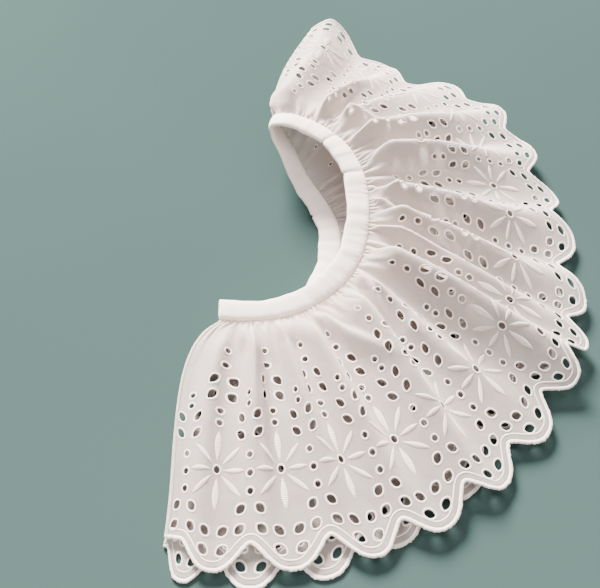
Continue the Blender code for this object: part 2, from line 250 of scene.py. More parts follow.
# Smaller creases, each a ridge given one by one: its repeat where it starts and where it ends,
# the depths where it starts and ends, its height and its reach to either side in repeats
creases = np.array([
    (0.05, 0.00, 0.0, 20.5, 0.8, 0.22, 0.16),
    (0.80, 0.82, 0.0, 15.0, 2.2, 0.22, 0.20),
    (1.10, 1.04, 2.0, 66.0, 2.8, 0.34, 0.12),
    (1.58, 1.66, 0.0, 19.5, 1.6, 0.26, 0.20),
    (2.12, 2.04, 0.0, 13.0, 2.4, 0.28, 0.26),
    (2.50, 2.46, 0.5, 15.0, 2.6, 0.46, 0.40),
    (2.88, 2.80, 0.0, 23.5, 0.7, 0.20, 0.18),
    (3.46, 3.60, 0.0, 18.5, 1.1, 0.22, 0.20),
    (3.60, 4.40, 3.0, 42.0, 3.2, 0.44, 0.20),
    (3.86, 4.10, 0.0, 17.5, 1.2, 0.24, 0.22),
    (4.35, 4.30, 0.0, 16.5, 0.8, 0.20, 0.16),
    (5.90, 4.85, 1.0, 30.0, 3.0, 0.34, 0.18),
    (5.98, 5.45, 1.0, 24.0, 1.8, 0.22, 0.16),
    (5.35, 5.30, 28.0, 66.0, 1.0, 0.30, 0.20),
    (6.32, 6.22, 0.0, 18.5, 1.2, 0.22, 0.20),
    (6.62, 6.50, 0.0, 16.2, 0.9, 0.18, 0.16),
    (7.32, 7.42, 0.0, 17.0, 1.1, 0.20, 0.18),
    (7.55, 7.60, 18.0, 60.0, 0.9, 0.26, 0.18),
    (8.17, 7.74, 0.0, 34.0, 2.6, 0.26, 0.16),
    (8.48, 8.40, 0.0, 16.0, 0.8, 0.18, 0.15),
    (9.66, 8.56, 0.5, 20.0, 3.0, 0.28, 0.16),
    (9.20, 9.02, 0.0, 13.0, 1.0, 0.20, 0.16),
    (10.32, 8.86, 1.0, 24.0, 3.2, 0.36, 0.18),
    (10.00, 9.95, 26.0, 70.0, 1.1, 0.30, 0.20),
    (10.62, 10.52, 0.0, 21.5, 1.3, 0.28, 0.20),
    (11.02, 10.88, 0.0, 17.2, 1.0, 0.20, 0.18),
    (11.88, 11.98, 0.0, 18.0, 1.1, 0.22, 0.20),
    (12.20, 12.16, 0.0, 23.0, 1.0, 0.22, 0.16),
    (12.85, 12.28, 0.0, 28.0, 2.6, 0.28, 0.18),
    (13.22, 13.20, 0.0, 17.0, 1.0, 0.20, 0.18),
    (14.32, 12.90, 6.0, 30.0, 2.8, 0.32, 0.20),
    (13.62, 13.50, 0.0, 14.0, 0.9, 0.18, 0.16),
    (14.15, 14.10, 20.0, 58.0, 1.0, 0.24, 0.18),
    (14.72, 14.34, 6.0, 66.0, 2.2, 0.26, 0.20),
    (15.06, 15.10, 0.0, 18.5, 1.1, 0.20, 0.18),
    (15.42, 15.50, 0.0, 16.5, 1.0, 0.18, 0.16),
    (15.75, 15.72, 0.0, 26.0, 2.4, 0.22, 0.22),
    (16.15, 16.10, 0.0, 24.0, 2.4, 0.20, 0.20),
    (16.55, 16.50, 5.0, 24.0, 1.0, 0.22, 0.20),
    (17.50, 17.42, 0.0, 26.0, 1.5, 0.20, 0.18),
    (18.05, 18.10, 0.0, 38.0, 1.7, 0.22, 0.20),
    (18.60, 18.48, 0.0, 22.0, 1.4, 0.20, 0.16),
    (19.20, 19.05, 0.0, 44.0, 1.6, 0.22, 0.18),
    (19.75, 19.80, 0.0, 24.0, 1.3, 0.18, 0.18),
    (20.40, 20.30, 0.0, 36.0, -1.5, 0.22, 0.18),
    (21.30, 21.36, 0.0, 30.0, -1.6, 0.20, 0.18),
    (22.40, 22.30, 0.0, 42.0, -1.4, 0.22, 0.20),
    (23.50, 23.58, 0.0, 28.0, -1.6, 0.20, 0.18),
    (24.70, 24.60, 0.0, 36.0, -1.5, 0.22, 0.18),
    (25.80, 25.86, 0.0, 30.0, -1.3, 0.20, 0.18),
    (27.00, 26.92, 0.0, 40.0, -1.4, 0.22, 0.18),
    (28.15, 28.20, 0.0, 26.0, -1.3, 0.20, 0.16),
    (29.30, 29.22, 0.0, 34.0, -1.2, 0.20, 0.18),
    (30.40, 30.46, 0.0, 26.0, -1.2, 0.20, 0.16),
    (31.60, 31.55, 0.0, 30.0, -1.0, 0.18, 0.16),
])
creaseShape = {
    "bow": 0.8,                 # below 1 a crease turns aside early in its run
    "widening": 0.2,            # how much broader it is where it ends
    "crestRound": 0.3,
    "rise": 6.0,                # millimetres in which it comes up
    "fade": 0.6,                # share of its run in which it dies out
}


def creaseHeight(repeats, depth):
    height = np.zeros(repeats.shape)
    for start, end, top, bottom, crest, nearSide, farSide in creases:
        run = (depth - top) / (bottom - top)
        along = np.clip(run, 0.0, 1.0)
        away = repeats - start - (end - start) * along ** creaseShape["bow"]
        reach = np.where(away < 0.0, nearSide, farSide) * (1.0 + creaseShape["widening"] * along)
        rise = smoothStep((depth - top + 1.0) / creaseShape["rise"])
        fade = smoothStep((1.0 - run) / creaseShape["fade"])
        height += crest * ridge(away / reach, creaseShape["crestRound"]) * rise * fade
    return height


# An uneven wave along the band, from rows of its height, rate and start
def unevenWave(repeats, rows):
    return sum(height * np.sin(rate * repeats + start) for height, rate, start in rows)


# Puffs that the band's gathering thread draws up: round on top, with sharp valleys. Fine ones
# at the seam run into broad ones further out. Each run has its count in a repeat, its height,
# how round its tops are and how high its valleys lie, and its reach with the wave in it.
puffs = {
    "wander": [(0.45, 2.1, 0.0), (0.30, 5.3, 1.0), (0.16, 11.9, 0.0)],
    "fine": {
        "count": 4.3, "height": 1.25, "roundness": 0.8, "valley": 0.62,
        "reach": 5.5, "reachWave": (0.35, 6.1, 2.0),
    },
    "broad": {
        "count": 2.1, "height": 1.2, "roundness": 0.9, "valley": 0.6,
        "reach": 15.0, "reachWave": (0.4, 2.7, 0.5),
    },
}


def puffRun(run, shift, repeats, depth):
    tops = np.abs(np.cos(np.pi * (run["count"] * repeats + shift))) ** run["roundness"]
    reach = run["reach"] * (0.8 + unevenWave(repeats, [run["reachWave"]]))
    return run["height"] * 1.7 * (tops - run["valley"]) * smoothStep(1.0 - depth / reach)


def puffHeight(repeats, depth):
    wander = unevenWave(repeats, puffs["wander"])
    fine = puffRun(puffs["fine"], wander, repeats, depth)
    fine *= 0.75 + 0.25 * np.sin(3.7 * repeats + 0.4) * np.cos(1.9 * repeats)
    fine *= 0.45 + 0.55 * smoothStep(depth / 2.5)
    shift = 0.8 * wander + 0.3 * np.sin(0.9 * repeats + depth / 30.0)
    broad = puffRun(puffs["broad"], shift, repeats, depth)
    broad *= (0.7 + 0.3 * np.cos(4.3 * repeats)) * smoothStep(depth / 9.0)
    return fine + broad


# The middle of the cloth in the ring's frame, for a place along the band and a depth
def clothForm(repeats, depth):
    share = depth / strip["depth"]
    place = plainStrip(repeats, share)
    step = 0.001
    along = unit(plainStrip(repeats + step, share) - plainStrip(repeats - step, share))
    outward = plainStrip(repeats, share + step) - plainStrip(repeats, share - step)
    normal = unit(np.cross(outward, along))
    folds = foldHeight(repeats, share)
    gathers = puffHeight(repeats, depth) + creaseHeight(repeats, depth)
    pressed = smoothStep((repeats - strip["pressedFrom"]) / strip["pressedOver"])
    gathers = gathers * (1.0 - pressed) + np.minimum(gathers, 0.0) * pressed
    height = folds + gathers - strip["wall"] / 2
    lean = np.maximum(folds, 0.0) * foldShape["lean"]
    place = place + normal * height[..., None] + along * lean[..., None]
    lift = place[..., 2] - strip["onTable"]
    place[..., 2] = strip["onTable"] + (lift + np.sqrt(lift**2 + strip["tableSoft"] ** 2)) / 2
    return place


# Where the flat cloth ends up along the band. Near the band most of it is taken up by the
# steep sides of the gathers, so that the motifs keep their width on the crests.
takeUp = {
    "columnStep": 0.01, "rowStep": 1.5,                     # the table's spacing: repeats, millimetres
    "beyondEnds": 0.1, "beyondEdges": 3.0,
    "window": 1.6,                                          # repeats in which the count comes out even
    "gain": 1.9, "calmFrom": 18.0, "calmAt": 64.0,          # steep sides take up more, down to calmAt
    "motifShare": 0.36, "motifFrom": 6.0, "motifTo": 54.0,  # and so does the cloth between the motifs
}


def takeUpTable():
    first = strip["first"] - takeUp["beyondEnds"]
    columns = round((strip["last"] + takeUp["beyondEnds"] - first) / takeUp["columnStep"]) + 1
    repeats = first + takeUp["columnStep"] * np.arange(columns)
    rows = np.arange(-takeUp["beyondEdges"], strip["depth"] + takeUp["beyondEdges"], takeUp["rowStep"])
    gridRepeats, gridDepths = np.meshgrid(repeats, rows)
    place = clothForm(gridRepeats, gridDepths)
    plain = plainStrip(gridRepeats, gridDepths / strip["depth"])
    plainRun = np.linalg.norm(np.diff(plain, axis=1), axis=-1)
    ratio = np.linalg.norm(np.diff(place, axis=1), axis=-1) / plainRun
    calm = smoothStep((rows - takeUp["calmFrom"]) / (takeUp["calmAt"] - takeUp["calmFrom"]))
    gain = takeUp["gain"] * (1.0 - calm)
    weight = plainRun * ratio ** gain[:, None]
    window = np.hanning(round(takeUp["window"] / takeUp["columnStep"]))
    window /= window.sum()
    table = np.zeros((len(rows), columns))
    for row in range(len(rows)):
        padded = np.pad(weight[row], len(window), mode="edge")
        mean = np.convolve(padded, window, mode="same")[len(window):-len(window)]
        fabric = np.concatenate([[0.0], np.cumsum(weight[row] / mean)])
        fabric = first + fabric / fabric[-1] * (repeats[-1] - first)
        table[row] = np.interp(repeats, fabric, repeats)
    return table


takenUp = takeUpTable()


# Where a place of the flat cloth lies along the band, read from the table between its points
def placeOnBand(fabric, depth):
    run = np.clip((depth - takeUp["motifFrom"]) / (takeUp["motifTo"] - takeUp["motifFrom"]), 0.0, 1.0)
    fabric = fabric + takeUp["motifShare"] * np.sin(np.pi * run) * np.sin(4 * np.pi * fabric) / (4 * np.pi)
    rowCount, columnCount = takenUp.shape
    column = (fabric - strip["first"] + takeUp["beyondEnds"]) / takeUp["columnStep"]
    column = np.clip(column, 0.0, columnCount - 1.001)
    row = np.clip((depth + takeUp["beyondEdges"]) / takeUp["rowStep"], 0.0, rowCount - 1.001)
    left, upper = column.astype(int), row.astype(int)
    across, down = column - left, row - upper
    near = takenUp[upper, left] * (1 - across) + takenUp[upper, left + 1] * across
    far = takenUp[upper + 1, left] * (1 - across) + takenUp[upper + 1, left + 1] * across
    return near * (1 - down) + far * down


def clothPoint(fabric, depth):
    return clothForm(placeOnBand(fabric, depth), depth)


# Points in metres in the part's frame, at a height over the cloth's middle on its right side
def onCloth(fabric, depth, height):
    fabric, depth, height = np.broadcast_arrays(np.float64(fabric), np.float64(depth), np.float64(height))
    step = 0.25
    beside = step / strip["repeat"]
    along = clothPoint(fabric + beside, depth) - clothPoint(fabric - beside, depth)
    outward = clothPoint(fabric, depth + step) - clothPoint(fabric, depth - step)
    normal = unit(np.cross(outward, along))
    return toPart(clothPoint(fabric, depth) + normal * height[..., None])


def toPart(points):
    return (points + np.array([*strip["ringCentre"], 0.0])) * mm


print("form of the cloth is ready")


# sRGB hex to linear colour
def linearColour(hexCode):
    parts = [int(hexCode[i:i + 2], 16) / 255 for i in (1, 3, 5)]
    return tuple(c / 12.92 if c <= 0.04045 else ((c + 0.055) / 1.055) ** 2.4 for c in parts) + (1.0,)


# Adds one node with its settings; each input is a value or the socket that feeds it
def addNode(tree, kind, settings=None, inputs=None):
    node = tree.nodes.new(kind)
    for name, value in (settings or {}).items():
        setattr(node, name, value)
    for name, value in (inputs or {}).items():
        if isinstance(value, bpy.types.NodeSocket):
            tree.links.new(value, node.inputs[name])
        else:
            node.inputs[name].default_value = value
    return node


def newMaterial(name, settings):
    material = bpy.data.materials.new(name)
    material.use_nodes = True
    tree = material.node_tree
    shader = tree.nodes["Principled BSDF"]
    for socket, value in settings.items():
        shader.inputs[socket].default_value = value
    return material, tree, shader


# Colour that wavers softly between two near whites
def softWhite(tree, coordinates, darkHex, lightHex, scale):
    noise = addNode(tree, "ShaderNodeTexNoise", {}, {"Vector": coordinates, "Scale": scale, "Detail": 3.0})
    ramp = addNode(tree, "ShaderNodeValToRGB", {}, {"Fac": noise.outputs["Fac"]})
    ramp.color_ramp.elements[0].position = 0.3
    ramp.color_ramp.elements[0].color = linearColour(darkHex)
    ramp.color_ramp.elements[1].position = 0.7
    ramp.color_ramp.elements[1].color = linearColour(lightHex)
    return ramp.outputs["Color"]


# A wave texture at scale 1 has this period, in units of its coordinates
wavePeriod = 0.314


# Height of a plain weave with its threads one pitch apart, in millimetres
def plainWeave(tree, coordinates, pitch, distortion, fineness):
    waves = []
    for direction in ("X", "Y"):
        wave = addNode(tree, "ShaderNodeTexWave", {"bands_direction": direction, "wave_profile": "SIN"}, {
            "Vector": coordinates, "Scale": wavePeriod / pitch,
            "Distortion": distortion, "Detail": 1.0, "Detail Scale": fineness})
        waves.append(wave.outputs["Fac"])
    weave = addNode(tree, "ShaderNodeMath", {"operation": "MULTIPLY"}, {0: waves[0], 1: waves[1]})
    return weave.outputs[0]


# Cotton lawn, plain woven and bleached: matt, thin, with a fine even thread. The UV map is
# the flat cloth in millimetres. Its thread of 0.3 mm is drawn at 0.5 mm, so that it shows.
def cottonLawn():
    material, tree, shader = newMaterial("bleached cotton lawn", {
        "Roughness": 0.82, "Specular IOR Level": 0.25, "Sheen Weight": 0.1, "Sheen Roughness": 0.5,
        "Subsurface Weight": 1.0, "Subsurface Scale": 0.0035, "Subsurface Radius": (1.0, 0.96, 0.93),
    })
    flat = addNode(tree, "ShaderNodeUVMap", {"uv_map": "flat"}).outputs["UV"]
    weave = plainWeave(tree, flat, 0.5, 0.6, 0.6)
    crumple = addNode(tree, "ShaderNodeTexNoise", {}, {"Vector": flat, "Scale": 0.16, "Detail": 4.0})
    soft = addNode(tree, "ShaderNodeBump", {}, {
        "Strength": 0.3, "Distance": 0.0012, "Height": crumple.outputs["Fac"]})
    fine = addNode(tree, "ShaderNodeBump", {}, {
        "Strength": 0.12, "Distance": 0.00015, "Height": weave, "Normal": soft.outputs["Normal"]})
    tree.links.new(softWhite(tree, flat, "#C9B8B1", "#D3C3BD", 0.05), shader.inputs["Base Color"])
    tree.links.new(fine.outputs["Normal"], shader.inputs["Normal"])
    return material


# Mercerised embroidery cotton laid stitch by stitch: whiter and silkier than the lawn, with
# a ridge for each stitch. The UV map runs in millimetres, across the stitches in X. Stitches of
# 0.35 mm are drawn coarser, so that they show.
def embroideryCotton(name, pitch, strength, darkHex, lightHex):
    material, tree, shader = newMaterial(name, {
        "Roughness": 0.6, "Specular IOR Level": 0.35, "Sheen Weight": 0.2, "Sheen Roughness": 0.4,
        "Subsurface Weight": 0.1, "Subsurface Scale": 0.0006, "Subsurface Radius": (1.0, 0.95, 0.92),
    })
    stitches = addNode(tree, "ShaderNodeUVMap", {"uv_map": "stitches"}).outputs["UV"]
    wave = addNode(tree, "ShaderNodeTexWave", {"bands_direction": "X", "wave_profile": "SIN"}, {
        "Vector": stitches, "Scale": wavePeriod / pitch,
        "Distortion": 1.2, "Detail": 2.0, "Detail Scale": 0.8})
    bump = addNode(tree, "ShaderNodeBump", {}, {
        "Strength": strength, "Distance": 0.00025, "Height": wave.outputs["Fac"]})
    tree.links.new(softWhite(tree, stitches, darkHex, lightHex, 0.3), shader.inputs["Base Color"])
    tree.links.new(bump.outputs["Normal"], shader.inputs["Normal"])
    return material


# Bias-cut cotton binding, folded and pressed: smooth and matt, with soft strain creases. Its
# thread of 0.3 mm is drawn at 0.45 mm, slanted as the strip is cut.
def biasCotton():
    material, tree, shader = newMaterial("pressed bias cotton", {
        "Roughness": 0.78, "Specular IOR Level": 0.3, "Sheen Weight": 0.2, "Sheen Roughness": 0.5,
        "Subsurface Weight": 0.2, "Subsurface Scale": 0.001, "Subsurface Radius": (1.0, 0.95, 0.92),
    })
    stitches = addNode(tree, "ShaderNodeUVMap", {"uv_map": "stitches"}).outputs["UV"]
    slanted = addNode(tree, "ShaderNodeMapping", {}, {
        "Vector": stitches, "Rotation": (0.0, 0.0, math.radians(45.0))})
    weave = plainWeave(tree, slanted.outputs["Vector"], 0.45, 0.5, 1.0)
    crease = addNode(tree, "ShaderNodeTexNoise", {}, {"Vector": stitches, "Scale": 0.12, "Detail": 3.0})
    soft = addNode(tree, "ShaderNodeBump", {}, {
        "Strength": 0.15, "Distance": 0.001, "Height": crease.outputs["Fac"]})
    fine = addNode(tree, "ShaderNodeBump", {}, {
        "Strength": 0.1, "Distance": 0.00012, "Height": weave, "Normal": soft.outputs["Normal"]})
    tree.links.new(softWhite(tree, stitches, "#EFE7E2", "#F6EFEB", 0.06), shader.inputs["Base Color"])
    tree.links.new(fine.outputs["Normal"], shader.inputs["Normal"])
    return material


lawn = cottonLawn()
whipped = embroideryCotton("whipped embroidery cotton", 0.45, 0.35, "#EEE6E1", "#F6F0EC")
satin = embroideryCotton("satin stitched cotton", 0.6, 0.8, "#E9E0DA", "#F2EBE6")
corded = embroideryCotton("corded buttonhole cotton", 0.5, 0.45, "#F8F2EE", "#FEFAF7")
binding = biasCotton()


# A mesh from numpy points, faces and a UV for each point
def addMesh(name, points, faces, uvName, uvs, material):
    mesh = bpy.data.meshes.new(name)
    mesh.from_pydata(points.tolist(), [], faces.tolist())
    corners = np.empty(len(mesh.loops), dtype=np.int32)
    mesh.loops.foreach_get("vertex_index", corners)
    layer = mesh.uv_layers.new(name=uvName)
    layer.data.foreach_set("uv", uvs[corners].astype(np.float32).ravel())
    mesh.materials.append(material)
    mesh.shade_smooth()
    mesh.update()
    piece = bpy.data.objects.new(name, mesh)
    bpy.context.scene.collection.objects.link(piece)
    return piece


# One repeat of the embroidery: millimetres from the star's axis and from the seam.
# Round eyelets: across, down, radius of the hole
roundEyelets = [
    (0.0, 13.6, 1.00), (0.0, 19.9, 1.05), (0.0, 38.8, 1.00), (0.0, 43.4, 1.05), (0.0, 60.7, 1.30),
    (13.5, 33.0, 0.95), (13.5, 37.2, 0.95), (13.5, 55.6, 1.00), (13.5, 61.9, 1.05), (13.5, 68.1, 1.05),
]
# Leaf eyelets, in pairs that mirror about their axis: the axis, then across, down,
# half length, half width, and the right one's slope in degrees, downward
leafPairs = [
    (0.0, 3.2, 26.7, 2.05, 1.40, 48.0), (0.0, 3.4, 33.1, 2.10, 1.45, 44.0),
    (13.5, 3.7, 41.5, 2.00, 1.35, -44.0), (13.5, 3.7, 47.9, 2.00, 1.35, -40.0),
    (13.5, 3.5, 74.0, 1.75, 1.35, 42.0),
    (0.0, 3.55, 81.5, 1.85, 1.35, -36.0), (0.0, 9.65, 80.7, 1.80, 1.35, -42.0),
    (0.0, 3.65, 87.6, 1.95, 1.40, -34.0),
]
leafPoint = 0.13                # how pointed the leaf eyelets are


# All eyelets of one repeat, each within its tile: across, down, half length, half width, slope
# in radians
def eyeletsOfRepeat():
    eyelets = [(across, down, radius, radius, 0.0) for across, down, radius in roundEyelets]
    for axis, beside, down, halfLength, halfWidth, slope in leafPairs:
        for side in (1, -1):
            across = axis + side * beside
            across += strip["repeat"] if across < strip["tileStart"] * strip["repeat"] else 0.0
            eyelets.append((across, down, halfLength, halfWidth, side * math.radians(slope)))
    return eyelets


# An eyelet's outline, moved out by a margin, as points across and down
def eyeletOutline(eyelet, angles, margin):
    across, down, halfLength, halfWidth, slope = eyelet
    pointed = 0.0 if halfLength == halfWidth else leafPoint
    x = (halfLength + margin) * np.cos(angles) * (1 + 0.5 * pointed * np.cos(angles) ** 6)
    y = (halfWidth + margin) * np.sin(angles) * np.abs(np.sin(angles)) ** pointed
    return np.stack([across + x * math.cos(slope) - y * math.sin(slope),
                     down + x * math.sin(slope) + y * math.cos(slope)], axis=-1)


# Spacing of the cloth's mesh in millimetres, fine beside the band where the gathers are, with
# two rings of points round each eyelet: on its edge, and further out where the rim covers it
grid = {
    "fine": 0.8, "fineTo": 13.0, "coarse": 1.25,
    "hemPoints": (20, 8),       # before and after the notch
    "eyeletSides": 14, "secondRing": 0.62, "clear": 1.15,
}


# The outline of one repeat, between two lines that no eyelet crosses
def repeatOutline(left, right, rows):
    repeat, depth, coarse = strip["repeat"], strip["depth"], grid["coarse"]
    notch = 0.5 * repeat
    before, after = grid["hemPoints"]
    hemX = np.concatenate([np.linspace(left, notch, before), np.linspace(notch, right, after)[1:]])
    hemY = depth - scallopCut(hemX / repeat + 0.5)
    sideRows = rows[1:]
    if hemY[0] - rows[-1] > 1.6 * coarse:
        sideRows = np.append(sideRows, 0.5 * (rows[-1] + hemY[0]))
    count = round(repeat / grid["fine"])
    topX = np.arange(1, count) * repeat / count + left
    outline = [(left, rows[0])] + [(left, y) for y in sideRows]
    outline += list(zip(hemX, hemY))
    outline += [(right, y) for y in sideRows[::-1]] + [(right, rows[0])]
    outline += [(x, rows[0]) for x in topX[::-1]]
    return np.array(outline)


# Points inside the outline in staggered rows, clear of the eyelets
def repeatInside(left, right, rows, eyelets):
    repeat, depth, coarse = strip["repeat"], strip["depth"], grid["coarse"]
    inner = []
    for index, y in enumerate(np.append(rows[1:], np.arange(rows[-1] + coarse, depth, coarse))):
        space = grid["fine"] if y < grid["fineTo"] else coarse
        count = round(repeat / space)
        shift = 0.5 if index % 2 else 1.0
        x = left + (np.arange(count) + shift) * repeat / count
        x = x[x < right - 0.4 * space]
        inside = y < depth - scallopCut(x / repeat + 0.5) - 0.55 * coarse
        inner.append(np.stack([x[inside], np.full(inside.sum(), y)], axis=-1))
    inner = np.concatenate(inner)
    keep = np.ones(len(inner), dtype=bool)
    for across, down, halfLength, halfWidth, slope in eyelets:
        for turn in (-repeat, 0.0, repeat):
            x, y = inner[:, 0] - across - turn, inner[:, 1] - down
            lengthwise = (x * math.cos(slope) + y * math.sin(slope)) / (halfLength + grid["clear"])
            sideways = (y * math.cos(slope) - x * math.sin(slope)) / (halfWidth + grid["clear"])
            keep &= lengthwise**2 + sideways**2 > 1.0
    return inner[keep]


# One repeat of the flat cloth with its eyelets cut out, as points across and down from the
# star's axis, and triangles
def flatRepeat():
    left = strip["tileStart"] * strip["repeat"]
    right = left + strip["repeat"]
    hemAtSide = strip["depth"] - scallopCut(left / strip["repeat"] + 0.5)
    rows = [-strip["seamAllowance"]]
    while rows[-1] < hemAtSide - 1.5 * grid["coarse"]:
        rows.append(rows[-1] + (grid["fine"] if rows[-1] < grid["fineTo"] else grid["coarse"]))
    rows = np.array(rows)
    outline = repeatOutline(left, right, rows)
    eyelets = eyeletsOfRepeat()
    sides = grid["eyeletSides"]
    onEdge = np.linspace(0.0, 2 * np.pi, sides, endpoint=False)
    between = onEdge + np.pi / sides
    points = [outline, repeatInside(left, right, rows, eyelets)]
    points += [eyeletOutline(eyelet, between, grid["secondRing"]) for eyelet in eyelets]
    points += [eyeletOutline(eyelet, onEdge, 0.0) for eyelet in eyelets]
    points = np.concatenate(points)
    loops = [list(range(len(outline)))[::-1]]
    for start in range(len(points) - sides * len(eyelets), len(points), sides):
        loops.append(list(range(start, start + sides)))
    result = delaunay_2d_cdt([tuple(point) for point in points], [], loops, 1, 1e-5, True)
    corners, triangles, owners = np.array(result[0]), result[2], result[5]
    kept = [triangle for triangle, owner in zip(triangles, owners) if set(owner) == {0}]
    return corners, np.array(kept)


# A stretch of the ruffle: the flat repeat laid side by side, trimmed to its ends and gathered
def gatheredCloth(name, first, last, tile, material):
    corners, triangles = tile
    bm = bmesh.new()
    before = 0.5 + strip["tileStart"]
    for repeat in range(math.floor(first - before), math.ceil(last - before)):
        shift = (repeat + 0.5) * strip["repeat"]
        verts = [bm.verts.new((x + shift, y, 0.0)) for x, y in corners]
        for a, b, c in triangles:
            bm.faces.new((verts[a], verts[b], verts[c]))
    bmesh.ops.remove_doubles(bm, verts=bm.verts, dist=0.001)
    for place, side in ((first, -1.0), (last, 1.0)):
        geometry = list(bm.verts) + list(bm.edges) + list(bm.faces)
        bmesh.ops.bisect_plane(bm, geom=geometry, dist=0.001, clear_outer=True,
                               plane_co=(place * strip["repeat"], 0.0, 0.0), plane_no=(side, 0.0, 0.0))
    # Beyond the end notches the hem is cut straight
    notchDepth = strip["depth"] - strip["scallopDepth"]
    lastNotch = strip["lastNotch"] * strip["repeat"]
    beyond = [face for face in bm.faces if not 0.0 < face.calc_center_median().x < lastNotch]
    edges = {edge for face in beyond for edge in face.edges}
    verts = {vert for face in beyond for vert in face.verts}
    bmesh.ops.bisect_plane(bm, geom=beyond + list(edges) + list(verts), dist=0.001, clear_outer=True,
                           plane_co=(0.0, notchDepth, 0.0), plane_no=(0.0, 1.0, 0.0))
    bmesh.ops.triangulate(bm, faces=[face for face in bm.faces if len(face.verts) > 3])
    bm.verts.index_update()
    flat = np.array([vert.co[:2] for vert in bm.verts])
    faces = np.array([[vert.index for vert in face.verts] for face in bm.faces])
    bm.free()
    points = toPart(clothPoint(flat[:, 0] / strip["repeat"], flat[:, 1]))
    piece = addMesh(name, points, faces[:, ::-1], "flat", flat, material)
    wall = piece.modifiers.new("thickness", "SOLIDIFY")
    wall.thickness = strip["cloth"] * mm
    wall.offset = 0.0
    print(name, len(faces) * 2, "triangles and its cut edges")
    return piece


# Whether a place on the strip lies on this stretch, clear of the turned hems at its open ends
def onStretch(fabric, first, last):
    clearUpper, clearLower = strip["clearOfHems"]
    low = first + (clearUpper / strip["repeat"] if first == strip["first"] else 0.0)
    high = last - (clearLower / strip["repeat"] if last == strip["last"] else 0.0)
    return low <= fabric < high


# A copy of a small flat pattern for each place, laid on the cloth: the pattern gives
# points across, down and height, faces and stitch UVs
def layOnCloth(name, patterns, first, last, material):
    points, faces, uvs = [], [], []
    count = 0
    for repeat in range(math.floor(first) - 1, math.ceil(last) + 1):
        for centre, shape, patternFaces, patternUvs in patterns:
            fabric = repeat + 0.5 + centre / strip["repeat"]
            if not onStretch(fabric, first, last):
                continue
            points.append(shape + np.array([(repeat + 0.5) * strip["repeat"], 0.0, 0.0]))
            faces.append(patternFaces + count)
            uvs.append(patternUvs)
            count += len(shape)
    points = np.concatenate(points)
    placed = onCloth(points[:, 0] / strip["repeat"], points[:, 1], points[:, 2])
    faces, uvs = np.concatenate(faces), np.concatenate(uvs)
    piece = addMesh(name, placed, faces[:, ::-1], "stitches", uvs, material)
    print(name, 2 * len(faces), "triangles")
    return piece


# Whipped rims in millimetres. The reach is from the hole's edge to the rim's middle.
rim = {"reach": 0.44, "halfWidth": 0.49, "height": 0.28, "segments": 18, "sides": 6}


# The whipped rim is a torus, drawn out along each eyelet's outline
def rimPatterns():
    tubeRadius = 0.25
    bpy.ops.object.select_all(action="DESELECT")
    bpy.ops.mesh.primitive_torus_add(major_segments=rim["segments"], minor_segments=rim["sides"],
                                     major_radius=1.0, minor_radius=tubeRadius)
    torus = bpy.context.object
    corners = np.array([vert.co for vert in torus.data.vertices])
    faces = np.array([list(face.vertices) for face in torus.data.polygons])
    bpy.data.objects.remove(torus)
    turn = np.arctan2(corners[:, 1], corners[:, 0])
    beside = (np.hypot(corners[:, 0], corners[:, 1]) - 1.0) / tubeRadius
    above = corners[:, 2] / tubeRadius
    patterns = []
    for eyelet in eyeletsOfRepeat():
        margin = rim["reach"] + beside * rim["halfWidth"]
        flat = eyeletOutline(eyelet, turn, margin)
        shape = np.column_stack([flat, above * rim["height"]])
        around = turn * (eyelet[2] + eyelet[3] + 1.0) / 2
        patterns.append((eyelet[0], shape, faces, np.column_stack([around, above])))
    return patterns


# Petals of the eight-pointed star, round its own eyelet: slope, start, length, half width
starPetals = [
    (90.0, 2.2, 12.0, 1.65), (-90.0, 2.2, 12.0, 1.65), (0.0, 2.2, 9.4, 1.08), (180.0, 2.2, 9.4, 1.08),
    (42.0, 2.2, 11.6, 1.15), (138.0, 2.2, 11.6, 1.15), (-42.0, 2.2, 11.0, 1.12), (-138.0, 2.2, 11.0, 1.12),
]
petal = {
    "starDepth": 60.7,          # from the seam to the star's middle
    "height": 0.44,
    "skew": 1.25,               # above 1 a petal is broadest beyond its middle
    "roundness": 0.8,
}


# A petal is a sphere flattened into a lens, with its broadest place beyond the middle
def petalPatterns():
    bpy.ops.object.select_all(action="DESELECT")
    bpy.ops.mesh.primitive_uv_sphere_add(segments=10, ring_count=12, radius=1.0)
    ball = bpy.context.object
    corners = np.array([vert.co for vert in ball.data.vertices])
    bm = bmesh.new()
    bm.from_mesh(ball.data)
    bmesh.ops.triangulate(bm, faces=bm.faces)
    faces = np.array([[vert.index for vert in face.verts] for face in bm.faces])
    bm.free()
    bpy.data.objects.remove(ball)
    lengthwise = (corners[:, 2] + 1.0) / 2
    radius = np.maximum(np.hypot(corners[:, 0], corners[:, 1]), 1e-6)
    sideways, above = corners[:, 0] / radius, corners[:, 1] / radius
    patterns = []
    for slope, start, length, halfWidth in starPetals:
        width = halfWidth * np.sin(np.pi * lengthwise ** petal["skew"]) ** petal["roundness"]
        width = np.where(radius < 1e-5, 0.0, width)
        out = start + lengthwise * length
        side = sideways * width
        angle = math.radians(slope)
        across = out * math.cos(angle) - side * math.sin(angle)
        down = petal["starDepth"] + out * math.sin(angle) + side * math.cos(angle)
        height = above * petal["height"] * np.sqrt(np.maximum(width, 0.0) / halfWidth)
        shape = np.column_stack([across, down, height])
        patterns.append((0.0, shape, faces, np.column_stack([out, side])))
    return patterns


